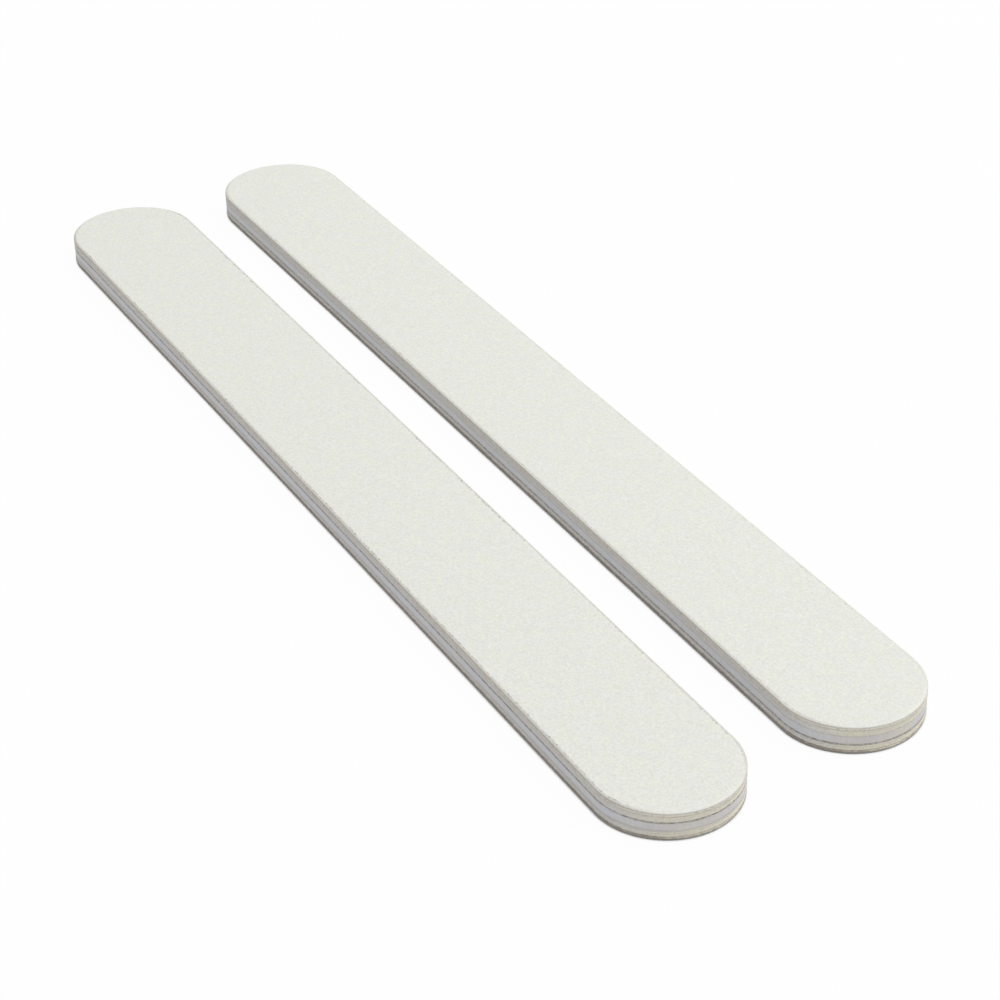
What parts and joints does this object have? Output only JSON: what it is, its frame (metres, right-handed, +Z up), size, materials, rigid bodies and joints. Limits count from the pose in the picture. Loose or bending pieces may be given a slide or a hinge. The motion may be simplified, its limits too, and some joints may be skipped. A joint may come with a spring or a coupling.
{
  "type": "emery board",
  "caption": "Straight round-ended cushioned emery boards for filing nails: abrasive paper over foam on each face of a flat plastic core.",
  "frame": {"origin": "On the table, midway between the two boards and midway along them", "axes": "+X along the boards towards the end nearest the camera, +Y from the left board to the right board, +Z up from the table"},
  "size_m": [0.1804, 0.0464, 0.004],
  "materials": {
    "abrasive_grit": "matt ivory grain with fine bright points",
    "backing_paper": "uncoated cream paper, cut edge",
    "sheet_adhesive": "tacky cream film, satin",
    "foam_cushion": "matt closed-cell foam, cut edge",
    "dark_core_adhesive": "dark adhesive line, satin",
    "clear_core_adhesive": "pale adhesive line, satin",
    "plastic_core": "blue-grey polystyrene, sheared edge"
  },
  "bodies": {
    "left_board": {"left_front_grit": "abrasive_grit", "left_front_paper": "backing_paper", "left_front_sheet_adhesive": "sheet_adhesive", "left_front_foam": "foam_cushion", "left_front_core_adhesive": "dark_core_adhesive", "left_core": "plastic_core", "left_back_core_adhesive": "clear_core_adhesive", "left_back_foam": "foam_cushion", "left_back_sheet_adhesive": "sheet_adhesive", "left_back_paper": "backing_paper", "left_back_grit": "abrasive_grit"},
    "right_board": {"right_front_grit": "abrasive_grit", "right_front_paper": "backing_paper", "right_front_sheet_adhesive": "sheet_adhesive", "right_front_foam": "foam_cushion", "right_front_core_adhesive": "dark_core_adhesive", "right_core": "plastic_core", "right_back_core_adhesive": "clear_core_adhesive", "right_back_foam": "foam_cushion", "right_back_sheet_adhesive": "sheet_adhesive", "right_back_paper": "backing_paper", "right_back_grit": "abrasive_grit"}
  },
  "joints": [
    {"name": "right_board_lift", "type": "slide", "parent": "left_board", "child": "right_board", "axis": [0, 0, 1], "range_m": [0, 0.06]}
  ]
}
